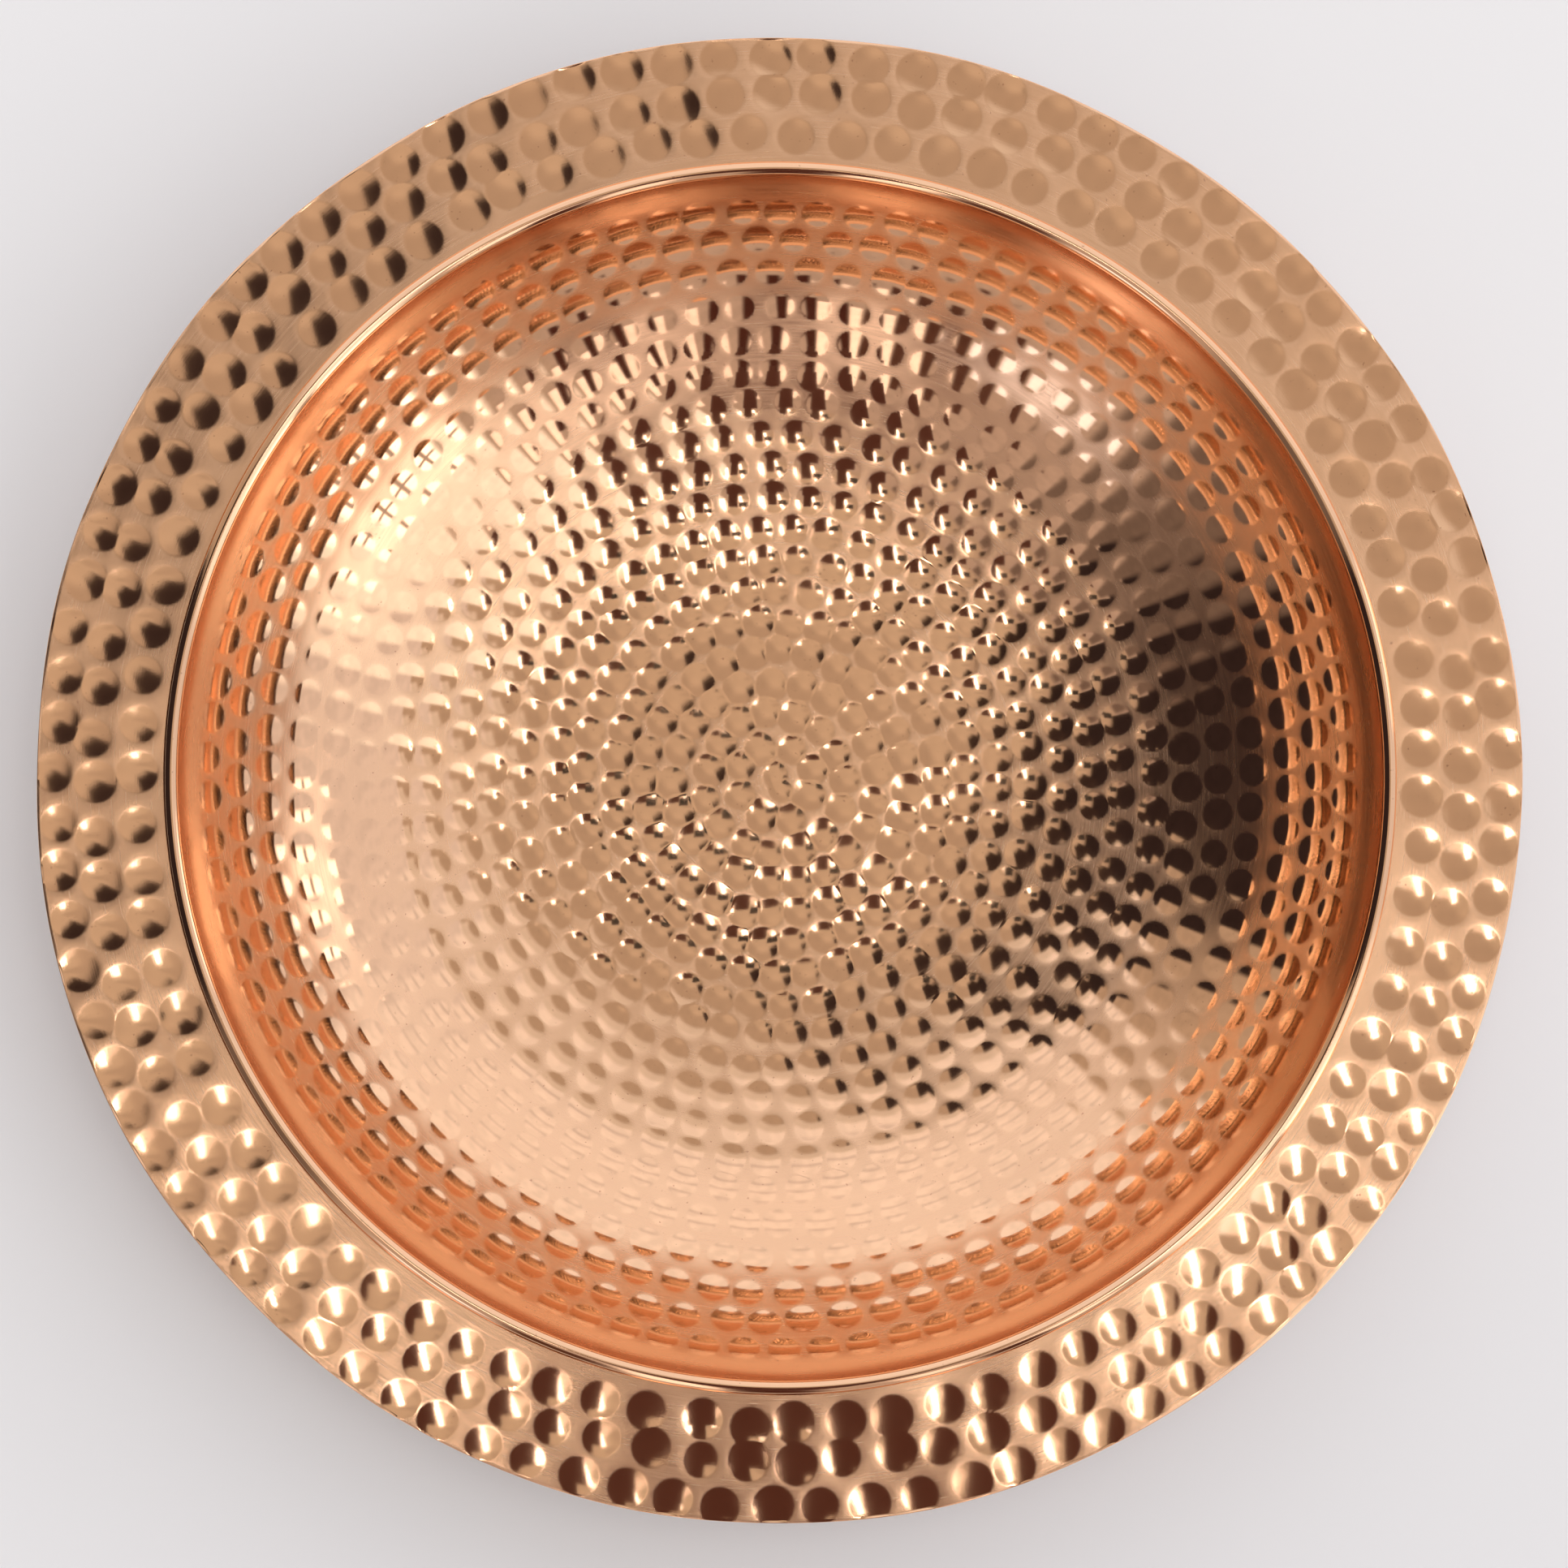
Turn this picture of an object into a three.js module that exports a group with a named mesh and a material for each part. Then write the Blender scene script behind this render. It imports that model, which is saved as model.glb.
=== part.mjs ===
// A hammered copper tray: a dish whose lip is rolled over a wire, seated in a wide flange ring.
// Millimetres, +Z up. The origin is the centre of the flat underside that the tray rests on.
import * as THREE from "three";

const degree = Math.PI / 180;

// Driving dimensions.
const trayRadius = 200; // outer edge of the flange
const sheet = 1.0; // thickness of the copper sheet
const gap = 0.3; // clearance between pieces that touch
const restRadius = 40; // flat middle of the base
const wireRadius = 0.7; // wire inside the rolled lip
const rollTurn = 280 * degree; // how far the lip goes round the wire
const easedEdge = 0.25; // chamfer filed on the flange's outer edge
const flangeSlope = 2 * degree; // how steeply the flange rises outwards
const seamLeg = 2.4; // reach of the solder down the wall and along the flange

// The dish's middle line leaves the flat base and reaches each of these radii at this slope,
// on one even bend. The steps say how finely that bend is drawn.
const stations = [
  { radius: 105, slope: 11 * degree, steps: 4 }, // end of the dished floor
  { radius: 138, slope: 45 * degree, steps: 6 }, // end of the knuckle, start of the wall
  { radius: 156, slope: 53 * degree, steps: 2 }, // end of the wall
  { radius: 161.9, slope: 80 * degree, steps: 4 }, // the lip, nearly upright
];
const rollSteps = 10;
const wireSteps = 8;
const seamSteps = 3;
const aroundSteps = 72;

// Worked out: the bends of the dish, and the centre of the wire that its lip rolls over.
const dishBends = bendsThrough(stations);
const lip = dishBends.at(-1);
const rollBend = wireRadius + gap + sheet / 2;
const wireCentre = onBend(lip, lip.endSlope, -rollBend);

// Worked out: the flange starts just under the rolled lip, with its bore just clear of the wall.
const clearOfWall = -sheet / 2 - gap;
const flangeTop = wireCentre.y - rollBend - sheet / 2 - gap;
const flangeBottom = flangeTop - sheet;
const flangeBore = onLip(flangeTop, clearOfWall).x;
const flangeRise = (trayRadius - flangeBore) * Math.tan(flangeSlope);

const copper = { color: 0xb87850, roughness: 0.25, metalness: 1 };
const bareWire = { color: 0xa8663e, roughness: 0.35, metalness: 1 };
const solder = { color: 0xa9a39a, roughness: 0.45, metalness: 1 };

// The direction square to a line of this slope, to its left.
function normalTo(slope) {
  return new THREE.Vector2(-Math.sin(slope), Math.cos(slope));
}

// The point where a bend has this slope, offset to the left of its middle line.
// A bend with a negative radius turns downwards.
function onBend(bend, slope, offset) {
  return bend.centre.clone().addScaledVector(normalTo(slope), offset - bend.radius);
}

// The point at this height on the lip's bend, offset to the left of its middle line.
function onLip(height, offset) {
  const slope = Math.acos((lip.centre.y - height) / (lip.radius - offset));
  return onBend(lip, slope, offset);
}

// One bend to each station in turn, from the edge of the flat base.
function bendsThrough(targets) {
  const bends = [];
  let start = new THREE.Vector2(restRadius, sheet / 2);
  let startSlope = 0;
  for (const { radius: endRadius, slope: endSlope, steps } of targets) {
    const radius = (endRadius - start.x) / (Math.sin(endSlope) - Math.sin(startSlope));
    const centre = start.clone().addScaledVector(normalTo(startSlope), radius);
    const bend = { centre, radius, startSlope, endSlope, steps };
    bends.push(bend);
    start = onBend(bend, endSlope, 0);
    startSlope = endSlope;
  }
  return bends;
}

// Turns a closed outline, drawn as (radius, height) anticlockwise, about the Z axis.
function turned(name, outline, finish) {
  const geometry = new THREE.LatheGeometry([...outline, outline[0]], aroundSteps);
  geometry.rotateX(90 * degree);
  const mesh = new THREE.Mesh(geometry, new THREE.MeshStandardMaterial(finish));
  mesh.name = name;
  return mesh;
}

// Floor, wall and rolled lip, raised from one sheet.
function dish() {
  const roll = {
    centre: wireCentre,
    radius: -rollBend,
    startSlope: lip.endSlope,
    endSlope: lip.endSlope - rollTurn,
    steps: rollSteps,
  };
  const under = [new THREE.Vector2(0, 0), new THREE.Vector2(restRadius, 0)];
  const over = [new THREE.Vector2(0, sheet), new THREE.Vector2(restRadius, sheet)];
  for (const bend of [...dishBends, roll]) {
    for (let step = 1; step <= bend.steps; step++) {
      const slope = THREE.MathUtils.lerp(bend.startSlope, bend.endSlope, step / bend.steps);
      under.push(onBend(bend, slope, -sheet / 2));
      over.push(onBend(bend, slope, sheet / 2));
    }
  }
  return turned("dish", [...under, ...over.reverse()], copper);
}

// The wire that the lip is rolled over.
function beadWire() {
  const outline = [];
  for (let step = 0; step < wireSteps; step++) {
    const spoke = normalTo((2 * Math.PI * step) / wireSteps);
    outline.push(wireCentre.clone().addScaledVector(spoke, wireRadius));
  }
  return turned("bead_wire", outline, bareWire);
}

// The ring that the rolled lip sits on, rising a little towards its outer edge.
function flange() {
  const outline = [
    new THREE.Vector2(flangeBore, flangeBottom),
    new THREE.Vector2(trayRadius - easedEdge, flangeBottom + flangeRise),
    new THREE.Vector2(trayRadius, flangeBottom + flangeRise + easedEdge),
    new THREE.Vector2(trayRadius, flangeTop + flangeRise - easedEdge),
    new THREE.Vector2(trayRadius - easedEdge, flangeTop + flangeRise),
    new THREE.Vector2(flangeBore, flangeTop),
  ];
  return turned("flange", outline, copper);
}

// A hollow-faced fillet of solder, in the corner between the wall and the flange's underside.
function solderSeam() {
  const seamTop = flangeBottom - gap;
  const corner = onLip(seamTop, clearOfWall);
  const toe = onLip(seamTop - seamLeg, clearOfWall);
  const tip = new THREE.Vector2(corner.x + seamLeg, seamTop);
  const hollow = corner.clone().lerp(toe.clone().lerp(tip, 0.5), 0.5);
  const face = new THREE.QuadraticBezierCurve(toe, hollow, tip);
  return turned("solder_seam", [corner, ...face.getPoints(seamSteps)], solder);
}

const tray = new THREE.Group();
tray.add(dish(), beadWire(), flange(), solderSeam());

export default tray;
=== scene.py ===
"""The looks of a hammered copper tray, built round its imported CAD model. Metres, +Z up."""

import math
from collections import namedtuple

import bpy
import numpy as np
from mathutils import Matrix, Vector

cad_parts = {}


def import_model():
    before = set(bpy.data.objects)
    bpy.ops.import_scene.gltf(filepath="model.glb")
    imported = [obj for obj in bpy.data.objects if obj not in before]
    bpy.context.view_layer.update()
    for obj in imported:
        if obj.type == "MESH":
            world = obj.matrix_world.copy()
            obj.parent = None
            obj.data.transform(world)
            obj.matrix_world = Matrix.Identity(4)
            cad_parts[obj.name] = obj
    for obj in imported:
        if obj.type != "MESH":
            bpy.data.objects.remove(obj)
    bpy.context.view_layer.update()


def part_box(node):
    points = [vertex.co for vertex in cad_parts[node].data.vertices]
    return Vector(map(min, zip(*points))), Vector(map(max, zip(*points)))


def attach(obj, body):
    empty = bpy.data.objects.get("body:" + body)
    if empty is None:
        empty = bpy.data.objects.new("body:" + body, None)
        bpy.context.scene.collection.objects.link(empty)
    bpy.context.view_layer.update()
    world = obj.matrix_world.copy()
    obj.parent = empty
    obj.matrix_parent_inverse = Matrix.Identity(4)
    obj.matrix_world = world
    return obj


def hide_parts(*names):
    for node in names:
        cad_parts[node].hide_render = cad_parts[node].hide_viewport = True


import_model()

MM = 0.001
DEGREE = math.pi / 180
TURN = 2 * math.pi
random = np.random.default_rng(seed=7)

# ---- Sizes that the frame gives ----
flange_low, flange_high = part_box("flange")
wire_low, wire_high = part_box("bead_wire")
seam_low, seam_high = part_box("solder_seam")

tray_radius = flange_high.x
wire_radius = (wire_high.z - wire_low.z) / 2
wire_ring = wire_high.x - wire_radius
wire_height = (wire_low.z + wire_high.z) / 2
seam_leg = seam_high.z - seam_low.z

# ---- Sizes that this script shares with the CAD model ----
SHEET = 1.0 * MM
GAP = 0.3 * MM
REST_RADIUS = 40 * MM
FLANGE_SLOPE = 2 * DEGREE
STATIONS = [(105 * MM, 11), (138 * MM, 45), (156 * MM, 53), (161.9 * MM, 80)]  # radius, slope
ROLL_TURN = 280 * DEGREE
roll_bend = wire_radius + GAP + SHEET / 2

# ---- Fineness of the meshes ----
TOP_SPACING = 0.6 * MM
UNDER_SPACING = 2 * TOP_SPACING
ROLL_SPACING = 0.3 * MM
SOLDER_SPACING = 0.8 * MM
WIRE_SPACING = 1 * MM
FEWEST_AROUND = 6  # points round the smallest ring

Bend = namedtuple("Bend", "centre radius start end")
Line = namedtuple("Line", "radius height slope along")
Rings = namedtuple("Rings", "radius height out_radius out_height along top spacing")


# ---- The dish's middle line ----
def normal_to(slope):
    """The direction square to lines of these slopes, to their left, as (radius, height)."""
    return np.stack([-np.sin(slope), np.cos(slope)], axis=-1)


def on_bend(bend, slope):
    """The points of a bend's middle line that have these slopes."""
    return bend.centre - bend.radius * normal_to(slope)


def dish_bends():
    """One bend to each station in turn, from the edge of the flat base, and then the roll."""
    bends = []
    start = np.array([REST_RADIUS, SHEET / 2])
    start_slope = 0.0
    for end_radius, end_degrees in STATIONS:
        end_slope = end_degrees * DEGREE
        radius = (end_radius - start[0]) / (math.sin(end_slope) - math.sin(start_slope))
        bend = Bend(start + radius * normal_to(start_slope), radius, start_slope, end_slope)
        bends.append(bend)
        start = on_bend(bend, end_slope)
        start_slope = end_slope
    centre = np.array([wire_ring, wire_height])
    bends.append(Bend(centre, -roll_bend, start_slope, start_slope - ROLL_TURN))
    return bends


def middle_line(spacing):
    """The dish's sheet from its centre to the end of its roll, in steps of about this spacing."""
    flat_radii = np.linspace(0, REST_RADIUS, math.ceil(REST_RADIUS / spacing) + 1)
    points = [np.stack([flat_radii, np.full_like(flat_radii, SHEET / 2)], axis=-1)]
    slopes = [np.zeros_like(flat_radii)]
    for bend in dish_bends():
        length = abs(bend.radius * (bend.end - bend.start))
        step = spacing if bend.radius > 0 else ROLL_SPACING
        bend_slopes = np.linspace(bend.start, bend.end, math.ceil(length / step) + 1)[1:]
        points.append(on_bend(bend, bend_slopes))
        slopes.append(bend_slopes)
    points = np.concatenate(points)
    hops = np.linalg.norm(np.diff(points, axis=0), axis=1)
    along = np.concatenate([[0], np.cumsum(hops)])
    return Line(points[:, 0], points[:, 1], np.concatenate(slopes), along)


def sheet_side(line, side, spacing):
    """Rings on one side of the sheet: side is 1 for its upper side and -1 for its underside."""
    normal = normal_to(line.slope) * side
    radius = np.maximum(line.radius + normal[:, 0] * SHEET / 2, 0)
    height = line.height + normal[:, 1] * SHEET / 2
    top = np.full_like(radius, max(side, 0))
    return Rings(radius, height, normal[:, 0], normal[:, 1], line.along, top,
                 np.full_like(radius, spacing))


def joined(*parts):
    """Several runs of rings as one."""
    return Rings(*[np.concatenate(field) for field in zip(*parts)])


def backwards(rings):
    """The same rings in the opposite order."""
    return Rings(*[field[::-1] for field in rings])


# ---- Solids turned about the tray's axis ----
class Turned:
    """A closed solid made of rings about +Z, each with as many points as its size needs.

    lift moves a point along its ring's outward direction, and stretch moves it away from the tray's axis.
    """

    def __init__(self, name, rings, closes_on_axis):
        self.name = name
        counts = np.round(TURN * rings.radius / rings.spacing).astype(int)
        self.counts = np.where(rings.radius > 0, np.maximum(counts, FEWEST_AROUND), 1)
        self.starts = np.concatenate([[0], np.cumsum(self.counts)[:-1]])
        self.ring = np.repeat(np.arange(len(self.counts)), self.counts)
        self.angle = (np.arange(len(self.ring)) - self.starts[self.ring]) / self.counts[self.ring] * TURN
        self.rings = Rings(*[field[self.ring] for field in rings])
        self.closes_on_axis = closes_on_axis
        self.lift = np.zeros(len(self.ring))
        self.stretch = np.zeros(len(self.ring))
        self.marks = {}

    def faces(self):
        """Triangles between each ring and the next, and on a hollow solid from last to first."""
        pairs = [(k, k + 1) for k in range(len(self.counts) - 1)]
        if not self.closes_on_axis:
            pairs.append((len(self.counts) - 1, 0))
        return np.concatenate([self.strip(a, b) for a, b in pairs])

    def strip(self, a, b):
        """Triangles between two rings, which may have different numbers of points."""
        a_count, b_count = self.counts[a], self.counts[b]
        a_steps = (np.arange(a_count) + 0.5) / a_count if a_count > 1 else np.empty(0)
        b_steps = (np.arange(b_count) + 0.5) / b_count if b_count > 1 else np.empty(0)
        steps = np.concatenate([a_steps, b_steps])
        on_a = np.concatenate([np.ones(len(a_steps), bool), np.zeros(len(b_steps), bool)])
        order = np.argsort(steps, kind="stable")
        on_a = on_a[order]
        i = np.cumsum(on_a) - on_a
        j = np.cumsum(~on_a) - ~on_a
        first = self.starts[a] + i % a_count
        second = self.starts[b] + j % b_count
        third = np.where(on_a, self.starts[a] + (i + 1) % a_count,
                         self.starts[b] + (j + 1) % b_count)
        return np.stack([first, second, third], axis=-1)

    def place(self):
        """Where each point is, once it is lifted and stretched."""
        radius = self.rings.radius + self.rings.out_radius * self.lift + self.stretch
        height = self.rings.height + self.rings.out_height * self.lift
        return np.stack([radius * np.cos(self.angle), radius * np.sin(self.angle), height], axis=-1)

    def build(self):
        """The Blender object, with its marks as attributes of its points."""
        places = self.place()
        faces = self.faces()
        mesh = bpy.data.meshes.new(self.name)
        mesh.vertices.add(len(places))
        mesh.vertices.foreach_set("co", places.astype(np.float32).ravel())
        mesh.loops.add(faces.size)
        mesh.loops.foreach_set("vertex_index", faces.astype(np.int32).ravel())
        mesh.polygons.add(len(faces))
        mesh.polygons.foreach_set("loop_start", np.arange(0, faces.size, 3, dtype=np.int32))
        mesh.update(calc_edges=True)
        mesh.shade_smooth()
        for mark, values in self.marks.items():
            attribute = mesh.attributes.new(mark, "FLOAT", "POINT")
            attribute.data.foreach_set("value", values.astype(np.float32))
        piece = bpy.data.objects.new(self.name, mesh)
        bpy.context.scene.collection.objects.link(piece)
        return piece


# ---- Hammer marks ----
Row = namedtuple("Row", "along radius pitch size hammer")
Dents = namedtuple("Dents", "along angle size depth")
RIM_REACH = 1.15  # how far round a dent its softened rim is worked out, in sizes of the dent
RIM_SOFTNESS = 0.045 * MM
ROW_WANDER = 0.35 * MM  # how far a row of dents wanders in and out on its way round
JITTER_ACROSS = 0.7  # a dent's jitter across its row, as a share of its jitter along it
UNEVEN_SIZE = 0.08
UNEVEN_DEPTH = 0.15
FAR_OUTSIDE = -1.0  # the depth where no dent reaches


def ripple_round(angle, waves):
    """A smooth random line round the tray, about 1 high."""
    line = np.zeros_like(angle)
    for wave in range(1, waves + 1):
        line += np.cos(wave * angle + random.uniform(0, TURN)) / math.sqrt(waves / 2)
    return line


def ripple_over(radius, angle, wavelength, waves=20):
    """A smooth random surface over the tray, about 1 high, with swells of about this length."""
    x = radius * np.cos(angle)
    y = radius * np.sin(angle)
    surface = np.zeros_like(angle)
    for heading, start, stretch in random.uniform((0, 0, 0.7), (TURN, TURN, 1.4), (waves, 3)):
        run = (x * math.cos(heading) + y * math.sin(heading)) * stretch
        surface += np.cos(run * TURN / wavelength + start)
    return surface / math.sqrt(waves / 2)


def hammered_row(row, jitter):
    """The dents of one row round the tray, each a little off in its place, size and depth."""
    count = max(round(TURN * row.radius / row.pitch), 1)
    angle = (np.arange(count) + random.random()) / count * TURN
    wander = ripple_round(angle, waves=5) * ROW_WANDER
    angle = angle + random.uniform(-1, 1, count) * jitter / row.radius
    along = row.along + wander + random.uniform(-1, 1, count) * jitter * JITTER_ACROSS
    size = row.size * about_one(UNEVEN_SIZE, count)
    depth = size ** 2 / (2 * row.hammer) * about_one(UNEVEN_DEPTH, count)
    return Dents(along, angle % TURN, size, depth)


def about_one(spread, count):
    """Random numbers within this spread of 1."""
    return random.uniform(1 - spread, 1 + spread, count)


def press(solid, dents):
    """How deep dents are at each point of a solid: above 0 in a dent, and below 0 outside it."""
    depth = np.full(len(solid.lift), FAR_OUTSIDE)
    ring_along = solid.rings.along[solid.starts]
    ring_radius = solid.rings.radius[solid.starts]
    for along, angle, size, deepest in zip(*dents):
        away = ring_along - along
        for ring in np.flatnonzero(np.abs(away) < size * RIM_REACH):
            count = solid.counts[ring]
            reach = math.sqrt((size * RIM_REACH) ** 2 - away[ring] ** 2)
            span = min(reach / max(ring_radius[ring], MM), math.pi)
            steps = np.arange(math.ceil((angle - span) / TURN * count),
                              math.floor((angle + span) / TURN * count) + 1)
            across = (steps / count * TURN - angle) * ring_radius[ring]
            share = (across ** 2 + away[ring] ** 2) / size ** 2
            points = solid.starts[ring] + steps % count
            depth[points] = np.maximum(depth[points], deepest * (1 - share))
    return depth


def softened(depth):
    """The depth with its rims a little rounded, and nothing outside them."""
    return (depth + np.sqrt(depth ** 2 + RIM_SOFTNESS ** 2)) / 2 * (depth > -RIM_SOFTNESS * 4)


def gathered(rows):
    """The dents of several rows as one."""
    return Dents(*[np.concatenate(field) for field in zip(*rows)])


# ---- The pieces ----
FLOOR_ROWS = 17
ROW_PITCH = 8.7 * MM  # from one row on the floor to the next
FIRST_ROW = 2.2 * MM  # radius of the innermost row
WALL_ROWS = [148.5 * MM, 155 * MM]
FLOOR_JITTER = 0.8 * MM
NARROWEST_PITCH = 8.3 * MM  # from dent to dent along a row, as far out as the flat base reaches
WIDEST_PITCH = 10.8 * MM
PITCH_GROWTH = 0.045  # how much the pitch widens for each metre further out
SIZE_RADII = [0, 60 * MM, 95 * MM, 120 * MM, 150 * MM]
SIZES = [4.9 * MM, 4.8 * MM, 4.5 * MM, 4.4 * MM, 4.7 * MM]  # radius of the dents at SIZE_RADII
HAMMER_RADII = [50 * MM, 115 * MM]
HAMMERS = [68 * MM, 46 * MM]  # how round the hammer's face is at HAMMER_RADII

FLANGE_ROWS = [173.5 * MM, 184 * MM, 194.5 * MM]
FLANGE_PITCH = 13.2 * MM
FLANGE_DENT = 5.75 * MM
FLANGE_HAMMER = 100 * MM
FLANGE_JITTER = 1.2 * MM

SHOW_THROUGH = 0.3  # how much of a dent shows on the other side of the sheet
BURNISHED_AT = 0.04 * MM  # the depth at which a dent is as bright as it gets
SWELL = 0.06 * MM  # how far the sheet swells between blows
DISH_SWELLS = 34 * MM  # from one swell of the sheet to the next
FLANGE_SWELLS = 40 * MM
LIP_BLEND = 8 * MM  # how far below the roll the sheet turns from dented to smooth
LIP_WANDER = 0.06 * MM
RIM_BLEND = 12 * MM  # how far in from the flange's edge its wandering reaches
RIM_WANDER = 0.2 * MM
RIM_TRIM = 0.4 * MM  # kept off the flange's edge, so that its wandering stays inside the CAD
EDGE_EASE = 0.3 * MM


def floor_rows(line):
    """Rows of dents from the middle of the floor to the top of the wall."""
    lip = np.argmax(line.radius)
    rows = []
    for radius in [FIRST_ROW + ROW_PITCH * row for row in range(FLOOR_ROWS)] + WALL_ROWS:
        wider = (radius - REST_RADIUS) * PITCH_GROWTH
        pitch = np.clip(NARROWEST_PITCH + wider, NARROWEST_PITCH, WIDEST_PITCH)
        size = np.interp(radius, SIZE_RADII, SIZES)
        along = np.interp(radius, line.radius[:lip], line.along[:lip])
        hammer = np.interp(radius, HAMMER_RADII, HAMMERS)
        rows.append(Row(along, radius, pitch, size, hammer))
    return rows


def dish():
    """Floor, wall and rolled lip of one hammered sheet."""
    line = middle_line(TOP_SPACING)
    under_line = middle_line(UNDER_SPACING)
    rings = joined(sheet_side(line, 1, TOP_SPACING),
                   backwards(sheet_side(under_line, -1, UNDER_SPACING)))
    solid = Turned("dish_sheet", rings, closes_on_axis=True)
    dents = gathered([hammered_row(row, FLOOR_JITTER) for row in floor_rows(line)])
    pressed = press(solid, dents)
    lip_start = line.along[-1] - roll_bend * ROLL_TURN
    on_lip = np.clip((solid.rings.along - lip_start) / LIP_BLEND + 1, 0, 1)
    swell = ripple_over(solid.rings.radius, solid.angle, DISH_SWELLS) * SWELL * (1 - on_lip)
    down = softened(pressed) - swell
    under_lift = np.minimum((down - down.max()) * SHOW_THROUGH, 0)
    solid.lift = np.where(solid.rings.top > 0, -down, under_lift)
    solid.stretch = on_lip * ripple_round(solid.angle, waves=9) * LIP_WANDER
    solid.marks = {
        "burnish": np.clip(pressed / BURNISHED_AT, 0, 1),
        "bead": (solid.rings.along > lip_start).astype(float),
        "underside": 1 - solid.rings.top,
    }
    return solid.build()


def eased_ring(bore, rim, ease):
    """Rings of a ring of sheet with an eased outer edge, from its bore outwards on top."""
    turn = np.array([60, 30, 0]) * DEGREE
    top = np.linspace(bore, rim - ease, math.ceil((rim - bore) / TOP_SPACING))
    under = np.linspace(rim - ease, bore, math.ceil((rim - bore) / UNDER_SPACING))
    corner = rim - ease + ease * np.cos(turn)
    radius = np.concatenate([top, corner, corner[::-1], under])
    up = np.concatenate([np.full_like(top, SHEET), SHEET - ease + ease * np.sin(turn),
                         ease - ease * np.sin(turn[::-1]), np.zeros_like(under)])
    height = flange_low.z + up + (radius - bore) * math.tan(FLANGE_SLOPE)
    out_height = np.concatenate([np.ones_like(top), np.zeros(2 * len(turn)), -np.ones_like(under)])
    on_top = (up > SHEET / 2).astype(float)
    return Rings(radius, height, np.zeros_like(radius), out_height, radius, on_top,
                 np.where(on_top > 0, TOP_SPACING, UNDER_SPACING))


def flange():
    """The outer ring, with three rows of larger dents."""
    bore = outside_lip(flange_low.z + SHEET)[0]
    rings = eased_ring(bore, tray_radius, EDGE_EASE)
    solid = Turned("flange_ring", rings, closes_on_axis=False)
    rows = [Row(radius, radius, FLANGE_PITCH, FLANGE_DENT, FLANGE_HAMMER) for radius in FLANGE_ROWS]
    dents = gathered([hammered_row(row, FLANGE_JITTER) for row in rows])
    pressed = press(solid, dents)
    swell = ripple_over(solid.rings.radius, solid.angle, FLANGE_SWELLS) * SWELL
    down = softened(pressed) - swell
    solid.lift = np.where(solid.rings.top > 0, -down, down * SHOW_THROUGH)
    at_rim = np.clip((solid.rings.radius - tray_radius) / RIM_BLEND + 1, 0, 1)
    solid.stretch = at_rim * (ripple_round(solid.angle, waves=16) * RIM_WANDER - RIM_TRIM)
    solid.marks = {
        "burnish": np.clip(pressed / BURNISHED_AT, 0, 1),
        "bead": np.zeros_like(pressed),
        "underside": 1 - solid.rings.top,
    }
    return solid.build()


def bead_wire():
    """The wire inside the rolled lip, not quite even."""
    sides = 16
    unevenness = 0.01 * MM
    turn = -np.arange(sides) / sides * TURN
    ones = np.ones_like(turn)
    rings = Rings(wire_ring + wire_radius * np.cos(turn), wire_height + wire_radius * np.sin(turn),
                  np.cos(turn), np.sin(turn), turn, ones, ones * WIRE_SPACING)
    solid = Turned("lip_wire", rings, closes_on_axis=False)
    solid.lift = ripple_over(solid.rings.radius, solid.angle, 12 * MM) * unevenness
    return solid.build()


def outside_lip(height):
    """The point (radius, height) just clear of the outside of the lip's bend."""
    lip = dish_bends()[-2]
    offset = -SHEET / 2 - GAP
    slope = math.acos((lip.centre[1] - height) / (lip.radius - offset))
    return on_bend(lip, slope) + offset * normal_to(slope)


def solder_seam():
    """The lumpy fillet of solder in the corner under the flange."""
    corner = outside_lip(seam_high.z)
    toe = outside_lip(seam_low.z)
    tip = corner + np.array([seam_leg, 0])
    hollow = (corner + (tip + toe) / 2) / 2
    share = np.linspace(0, 1, 12)[:, None]
    up_the_wall = np.linspace(0.8, 0, 5)[:, None]
    face = tip * (1 - share) ** 2 + hollow * 2 * share * (1 - share) + toe * share ** 2
    wall = corner + (toe - corner) * up_the_wall
    points = np.concatenate([face, wall])
    on_face = np.concatenate([np.sin(share[:, 0] * math.pi), np.zeros(len(wall))])
    out = np.array([1, -1]) / math.sqrt(2)
    ones = np.ones(len(points))
    rings = Rings(points[:, 0], points[:, 1], out[0] * on_face, out[1] * on_face, ones, ones,
                  ones * SOLDER_SPACING)
    solid = Turned("solder_fillet", rings, closes_on_axis=False)
    lump_height = 0.12 * MM
    bead_height = 0.05 * MM
    lumps = ripple_over(solid.rings.radius, solid.angle, 11 * MM) * lump_height
    beads = ripple_over(solid.rings.radius, solid.angle, 4 * MM) * bead_height
    solid.lift = lumps + beads
    return solid.build()


# ---- Materials ----
# How fine each noise is: about how many of its features lie along a metre.
CLOUDS = 28.0
SPECKLES = 900.0
GRAIN = 1500.0
BRUSH_LINES = 2600.0
DRAWING_LINES = 6000.0
WIRE_CLOUDS = 40.0
SOLDER_CLOUDS = 120.0
SOLDER_FLUX = 55.0
SOLDER_PITS = 1400.0
LINE_LENGTH = 9.0  # how often a line that runs round the tray changes in a radian


def shader(name):
    """A new material, and a function that adds a node to it."""
    material = bpy.data.materials.new(name)
    material.use_nodes = True
    material.node_tree.nodes.clear()
    return material, adder(material.node_tree)


def adder(tree):
    """A function that adds a node to this tree, with its settings and its inputs."""
    def add(kind, inputs, **settings):
        node = tree.nodes.new("ShaderNode" + kind)
        for setting, value in settings.items():
            setattr(node, setting, value)
        for socket, value in inputs.items():
            if isinstance(value, bpy.types.NodeSocket):
                tree.links.new(value, node.inputs[socket])
            else:
                node.inputs[socket].default_value = value
        return node

    return add


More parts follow.
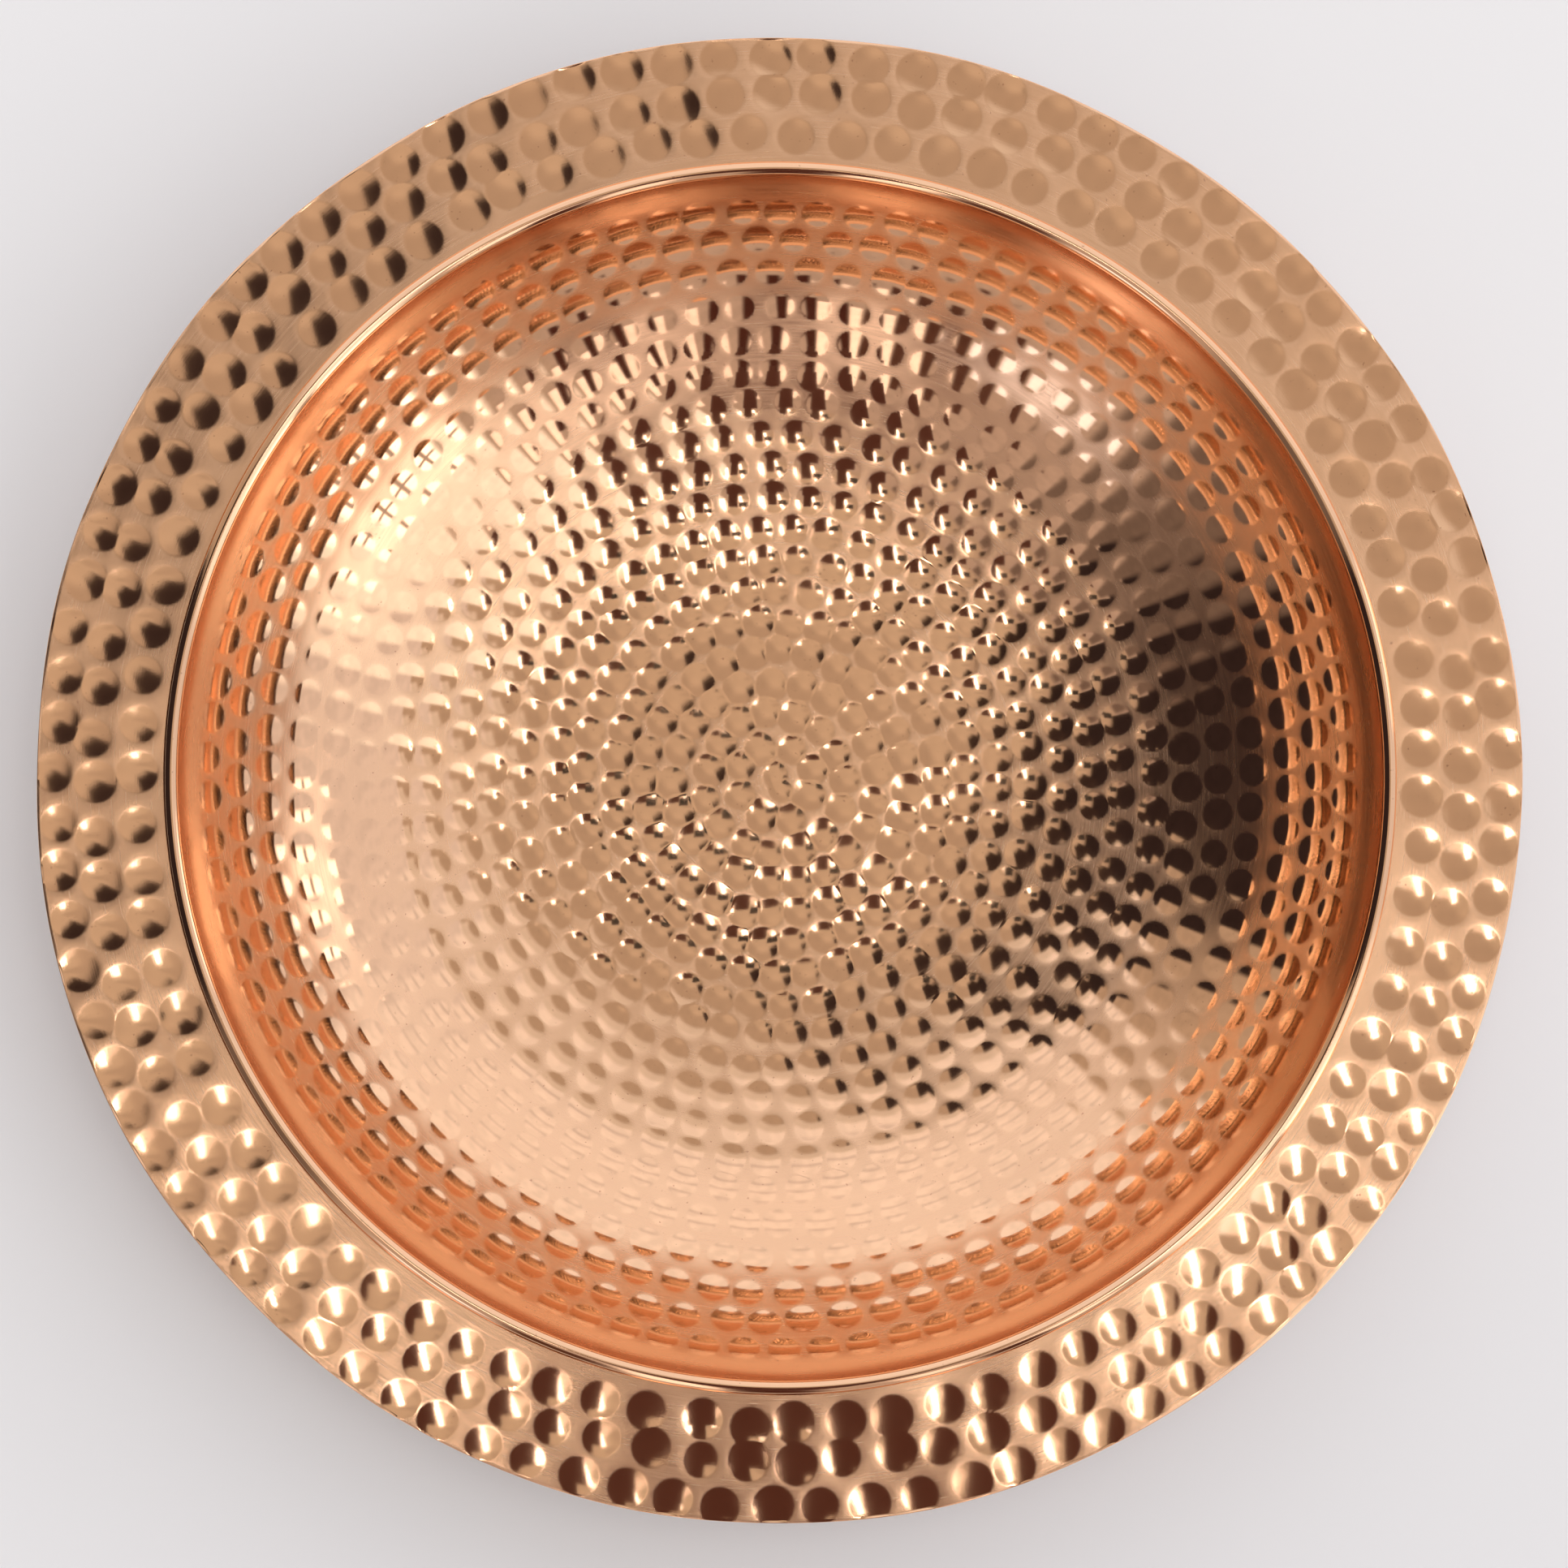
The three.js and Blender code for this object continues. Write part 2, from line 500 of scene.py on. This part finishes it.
def noise(add, place, scale, detail=3.0):
    """Smooth noise from 0 to 1, mostly between 0.3 and 0.7."""
    return add("TexNoise", {"Vector": place, "Scale": scale, "Detail": detail}).outputs["Fac"]


def ranged(add, value, low, high, to_low, to_high):
    """A value between two others, spread over a new range."""
    inputs = {"Value": value, "From Min": low, "From Max": high, "To Min": to_low, "To Max": to_high}
    return add("MapRange", inputs).outputs["Result"]


def mixed(add, share, first, second):
    """A colour between two others."""
    node = add("Mix", {0: share, 6: first, 7: second}, data_type="RGBA")
    return node.outputs[2]


def blended(add, share, first, second):
    """A number between two others."""
    return add("Mix", {0: share, 2: first, 3: second}).outputs[0]


def mark(add, name):
    """One of a solid's marks."""
    return add("Attribute", {}, attribute_name=name).outputs["Fac"]


def product(add, first, second):
    """Two numbers multiplied."""
    return add("Math", {0: first, 1: second}, operation="MULTIPLY").outputs["Value"]


def round_the_tray(add, place, fine):
    """A place to read noise at, that makes fine lines run round the tray's axis."""
    flat = add("VectorMath", {0: place, 1: (1, 1, 0)}, operation="MULTIPLY").outputs["Vector"]
    radius = add("VectorMath", {0: flat}, operation="LENGTH").outputs["Value"]
    heading = add("VectorMath", {0: flat}, operation="NORMALIZE").outputs["Vector"]
    slow = add("VectorMath", {0: heading, "Scale": LINE_LENGTH}, operation="SCALE").outputs["Vector"]
    across = product(add, radius, fine)
    return add("VectorMath", {0: slow, 1: add("CombineXYZ", {"Z": across}).outputs["Vector"]},
               operation="ADD").outputs["Vector"]


def copper():
    """Hammered copper: burnished in the dents, finely brushed between them, dull underneath."""
    material, add = shader("copper_hammered")
    place = add("TexCoord", {}).outputs["Object"]
    burnish = mark(add, "burnish")
    bead = mark(add, "bead")
    underside = mark(add, "underside")
    cloud = noise(add, place, CLOUDS)
    speckle = noise(add, place, SPECKLES, 2.0)
    streak = noise(add, round_the_tray(add, place, BRUSH_LINES), 1.0, 2.0)

    bright = mixed(add, cloud, (0.93, 0.575, 0.355, 1), (0.92, 0.545, 0.325, 1))
    tarnished = mixed(add, cloud, (0.50, 0.22, 0.12, 1), (0.36, 0.15, 0.085, 1))
    specks = ranged(add, speckle, 0.70, 0.76, 0.0, 0.5)
    specked = mixed(add, specks, bright, (0.45, 0.20, 0.12, 1))
    colour = mixed(add, underside, specked, tarnished)

    polished = add("Math", {0: burnish, 1: bead}, operation="MAXIMUM").outputs["Value"]
    ground = ranged(add, streak, 0.3, 0.7, 0.21, 0.28)
    shine = ranged(add, cloud, 0.3, 0.7, 0.05, 0.08)
    upper = blended(add, polished, ground, shine)
    dull = ranged(add, cloud, 0.3, 0.7, 0.30, 0.42)
    roughness = blended(add, underside, upper, dull)

    scratch_depth = 1.5e-6
    scratches = add("Bump", {"Strength": 1.0, "Distance": scratch_depth, "Height": streak})
    grain = add("Bump", {"Strength": 1.0, "Distance": scratch_depth,
                         "Height": noise(add, place, GRAIN, 2.0),
                         "Normal": scratches.outputs["Normal"]})
    surface = add("BsdfPrincipled", {"Base Color": colour, "Metallic": 1.0, "Roughness": roughness,
                                     "Normal": grain.outputs["Normal"]})
    add("OutputMaterial", {"Surface": surface.outputs["BSDF"]})
    return material


def drawn_wire():
    """Copper wire with fine drawing lines along it."""
    material, add = shader("copper_drawn")
    place = add("TexCoord", {}).outputs["Object"]
    streak = noise(add, round_the_tray(add, place, DRAWING_LINES), 1.0, 2.0)
    cloud = noise(add, place, WIRE_CLOUDS)
    colour = mixed(add, cloud, (0.70, 0.36, 0.22, 1), (0.48, 0.22, 0.13, 1))
    roughness = ranged(add, streak, 0.3, 0.7, 0.28, 0.42)
    line_depth = 1e-5
    lines = add("Bump", {"Strength": 1.0, "Distance": line_depth, "Height": streak})
    surface = add("BsdfPrincipled", {"Base Color": colour, "Metallic": 1.0, "Roughness": roughness,
                                     "Normal": lines.outputs["Normal"]})
    add("OutputMaterial", {"Surface": surface.outputs["BSDF"]})
    return material


def soft_solder():
    """Dull grey solder with darker flux left on it."""
    material, add = shader("solder_dull")
    place = add("TexCoord", {}).outputs["Object"]
    cloud = noise(add, place, SOLDER_CLOUDS)
    grain = noise(add, place, SOLDER_PITS)
    flux = ranged(add, noise(add, place, SOLDER_FLUX), 0.52, 0.66, 0.0, 0.8)
    grey = mixed(add, cloud, (0.66, 0.64, 0.60, 1), (0.42, 0.40, 0.37, 1))
    colour = mixed(add, flux, grey, (0.20, 0.12, 0.07, 1))
    roughness = ranged(add, grain, 0.3, 0.7, 0.38, 0.60)
    pit_depth = 4e-5
    pits = add("Bump", {"Strength": 1.0, "Distance": pit_depth, "Height": grain})
    surface = add("BsdfPrincipled", {"Base Color": colour, "Metallic": 1.0, "Roughness": roughness,
                                     "Normal": pits.outputs["Normal"]})
    add("OutputMaterial", {"Surface": surface.outputs["BSDF"]})
    return material


def plain(name, colour, roughness):
    """A matt material for the floor and the cards."""
    material, add = shader(name)
    surface = add("BsdfPrincipled", {"Base Color": (*colour, 1), "Roughness": roughness})
    add("OutputMaterial", {"Surface": surface.outputs["BSDF"]})
    return material


# ---- Floor, lights and camera ----
FLOOR_SIDE = 8.0
CEILING = 8.0  # height of the lamps
STRIP_WIDTH = 0.026  # width and length of the long lamps, as shares of their height
STRIP_LENGTH = 0.15
STRIP_RADIANCE = 5.5
STRIP_TURN = 14 * DEGREE
FILL_SIDE = 4.0
FILL_RADIANCE = 3.0

CAMERA_AZIMUTH = -49 * DEGREE  # 0 would look along +Y
CAMERA_ELEVATION = 86.8 * DEGREE
CAMERA_DISTANCE = 1.05
CAMERA_DEPTH = 0.05  # how far behind the lens its dark body is
AIM = Vector((0, -2.4 * MM, flange_high.z))
LENS_MM = 89.9
SENSOR_MM = 36


def rectangle(name, width, height, material):
    """A flat rectangle that faces +Z, for the stage."""
    corners = [(x * width / 2, y * height / 2, 0) for x, y in ((-1, -1), (1, -1), (1, 1), (-1, 1))]
    mesh = bpy.data.meshes.new(name)
    mesh.from_pydata(corners, [], [(0, 1, 2, 3)])
    mesh.materials.append(material)
    flat = bpy.data.objects.new(name, mesh)
    bpy.context.scene.collection.objects.link(flat)
    return flat


def softbox(name, place, size, radiance):
    """An even rectangular light that faces straight down."""
    light = bpy.data.lights.new(name, "AREA")
    light.shape = "RECTANGLE"
    light.size, light.size_y = size
    light.energy = radiance * size[0] * size[1] * math.pi
    lamp = bpy.data.objects.new(name, light)
    lamp.location = place
    lamp.visible_camera = False
    bpy.context.scene.collection.objects.link(lamp)
    return lamp


def strip_light(name, lean):
    """A long lamp high on the ceiling, leaning this far from straight up as (x, y)."""
    place = Vector((lean[0], lean[1], 1)) * CEILING
    size = (STRIP_WIDTH * CEILING, STRIP_LENGTH * CEILING)
    lamp = softbox(name, place, size, STRIP_RADIANCE)
    lamp.rotation_euler.z = STRIP_TURN


def overhead_fill():
    """A wide lamp that lights the floor and that the copper doesn't mirror."""
    place = Vector((0, 0, CEILING))
    lamp = softbox("overhead_fill", place, (FILL_SIDE, FILL_SIDE), FILL_RADIANCE)
    lamp.visible_glossy = False


Patch = namedtuple("Patch", "azimuth half_width soft low high colour")
BELOW_HORIZON = 95
# What the copper mirrors: each patch of the room is centred on an azimuth, counted from +X
# towards +Y, and lies between two angles from straight up. Later patches lie over earlier ones.
ROOM = [
    Patch(0, 170, 6, -2, 6, (0.64, 0.57, 0.49)),  # ceiling, straight up
    Patch(250, 60, 12, 12, BELOW_HORIZON, (0.52, 0.46, 0.44)),  # dim wall in front of the tray
    Patch(70, 66, 6, 14, BELOW_HORIZON, (0.80, 0.79, 0.78)),  # pale wall behind it, with darker lines
    Patch(70, 66, 6, 19, BELOW_HORIZON, (1.04, 1.05, 1.11)),
    Patch(70, 66, 6, 25, 28, (0.80, 0.80, 0.86)),
    Patch(70, 66, 6, 36, 39, (0.84, 0.84, 0.90)),
    Patch(70, 66, 6, 48, 51, (0.84, 0.84, 0.90)),
    Patch(70, 66, 6, 60, 63, (0.84, 0.84, 0.90)),
    Patch(0, 26, 8, 20, BELOW_HORIZON, (0.82, 0.82, 0.88)),  # wall on the right
    Patch(330, 17, 4, 11, BELOW_HORIZON, (1.30, 1.38, 1.45)),  # bright wall with a barred window
    Patch(326, 10, 3, 56, BELOW_HORIZON, (2.80, 2.70, 2.70)),
    Patch(14, 6, 3, 60, 82, (2.60, 2.50, 2.50)),  # window on the right, with a bar
    Patch(326, 1.5, 1, 56, BELOW_HORIZON, (0.50, 0.46, 0.45)),
    Patch(326, 10, 3, 68, 72, (0.50, 0.46, 0.45)),
    Patch(14, 6, 3, 69, 73, (0.50, 0.46, 0.45)),
    Patch(259, 24, 9, 4, 9, (1.25, 1.12, 1.05)),  # glows round the two strip lights
    Patch(331, 15, 6, 7, 12, (1.25, 1.12, 1.05)),
    Patch(262, 4, 2, 26, 75, (1.60, 1.50, 1.50)),  # bright uprights in front
    Patch(303, 4, 2, 24, 60, (1.60, 1.50, 1.50)),
    Patch(288, 3, 2, 34, 75, (1.40, 1.30, 1.30)),
    Patch(272, 4, 2, 30, 80, (0.07, 0.025, 0.02)),  # dark uprights between them
    Patch(296, 3, 2, 36, 80, (0.07, 0.025, 0.02)),
    Patch(250, 5, 2, 34, 80, (0.10, 0.05, 0.04)),
    Patch(168, 29, 2, 9, 24, (0.030, 0.022, 0.024)),  # nearly black doorway on the left
    Patch(181, 25, 2, 22, BELOW_HORIZON, (0.030, 0.022, 0.024)),
    Patch(132, 24, 3, 4.5, 14, (0.04, 0.028, 0.028)),
    Patch(212, 10, 5, 12, BELOW_HORIZON, (0.18, 0.15, 0.14)),  # dim wall beside the doorway
    Patch(236, 5, 3, 56, 76, (1.60, 1.70, 2.00)),  # bluish window
]
ROOM_AVERAGE = (0.51, 0.445, 0.385, 1)
ZENITH_SOFT = 1.5  # half the width of the fade at a patch's upper and lower edges
ROOM_GRAIN = 6.0  # how fine the unevenness of the room's brightness is


def world():
    """The room's patches over its average colour, a little uneven all over."""
    surroundings = bpy.data.worlds.new("room")
    bpy.context.scene.world = surroundings
    surroundings.use_nodes = True
    add = adder(surroundings.node_tree)
    heading = add("TexCoord", {}).outputs["Generated"]
    up = add("SeparateXYZ", {"Vector": heading}).outputs["Z"]
    from_zenith = add("Math", {0: up}, operation="ARCCOSINE").outputs["Value"]
    level = add("VectorMath", {0: heading, 1: (1, 1, 0)}, operation="MULTIPLY").outputs["Vector"]
    level = add("VectorMath", {0: level}, operation="NORMALIZE").outputs["Vector"]
    colour = ROOM_AVERAGE
    for patch in ROOM:
        facing = (math.cos(patch.azimuth * DEGREE), math.sin(patch.azimuth * DEGREE), 0)
        nearness = add("VectorMath", {0: level, 1: facing}, operation="DOT_PRODUCT").outputs["Value"]
        edge = [math.cos((patch.half_width + side * patch.soft) * DEGREE) for side in (1, -1)]
        beside = window(add, nearness, *edge)
        above = window(add, from_zenith, (patch.low - ZENITH_SOFT) * DEGREE,
                       (patch.low + ZENITH_SOFT) * DEGREE)
        below = window(add, from_zenith, (patch.high + ZENITH_SOFT) * DEGREE,
                       (patch.high - ZENITH_SOFT) * DEGREE)
        share = product(add, product(add, beside, above), below)
        colour = mixed(add, share, colour, (*patch.colour, 1))
    unevenness = ranged(add, noise(add, heading, ROOM_GRAIN, 1.0), 0.35, 0.65, 0.93, 1.06)
    uneven = add("VectorMath", {0: colour, "Scale": unevenness}, operation="SCALE")
    background = surroundings.node_tree.nodes["Background"]
    surroundings.node_tree.links.new(uneven.outputs["Vector"], background.inputs["Color"])


def window(add, value, start, end):
    """0 before the start and 1 after the end, with a smooth step between them."""
    inputs = {"Value": value, "From Min": start, "From Max": end}
    return add("MapRange", inputs, interpolation_type="SMOOTHSTEP").outputs["Result"]


def view_from(distance):
    """A place this far back along the line of sight, turned to face the tray."""
    level = math.cos(CAMERA_ELEVATION)
    back = Vector((math.sin(CAMERA_AZIMUTH) * level, -math.cos(CAMERA_AZIMUTH) * level,
                   math.sin(CAMERA_ELEVATION)))
    right = Vector((0, 1, 0)).cross(back).normalized()
    turn = Matrix((right, back.cross(right), back)).transposed().to_4x4()
    return Matrix.Translation(AIM + back * distance) @ turn


def camera():
    """Nearly straight above, a little to the left and in front."""
    lens = bpy.data.cameras.new("photograph")
    lens.sensor_width = SENSOR_MM
    lens.lens = LENS_MM
    eye = bpy.data.objects.new("camera", lens)
    eye.matrix_world = view_from(CAMERA_DISTANCE)
    bpy.context.scene.collection.objects.link(eye)
    bpy.context.scene.camera = eye


def camera_body():
    """A dark card just behind the camera, for the copper to mirror."""
    black = plain("camera_black", (0.01, 0.01, 0.01), 0.6)
    card = rectangle("camera_body", width=0.085, height=0.06, material=black)
    card.matrix_world = view_from(CAMERA_DISTANCE + CAMERA_DEPTH)


def photographer():
    """Two dark reddish cards that face down, a long one high up and a shorter one below it."""
    cloth = plain("photographer_red", (0.09, 0.03, 0.02), 0.9)
    above = rectangle("photographer_above", width=0.19, height=1.7, material=cloth)
    above.location = (0.115, -0.92, 2.0)
    below = rectangle("photographer_below", width=0.24, height=0.7, material=cloth)
    below.location = (0.04, -0.55, 1.3)
    for card in (above, below):
        card.rotation_euler.x = math.pi


world()
camera()
rectangle("floor", FLOOR_SIDE, FLOOR_SIDE, plain("floor_pale", (0.93, 0.92, 0.91), 0.9))
strip_light("left_strip", (-0.022, -0.110))
strip_light("right_strip", (0.146, -0.080))
overhead_fill()
camera_body()
photographer()

copper_material = copper()
pieces = [
    (dish(), "dish", "hammered_copper", copper_material),
    (flange(), "flange", "hammered_copper", copper_material),
    (bead_wire(), "bead_wire", "copper_wire", drawn_wire()),
    (solder_seam(), "solder_seam", "solder", soft_solder()),
]
for piece, node, slot, material in pieces:
    piece.data.materials.append(material)
    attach(piece, "root")
    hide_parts(node)

bpy.context.scene.view_settings.view_transform = "Standard"
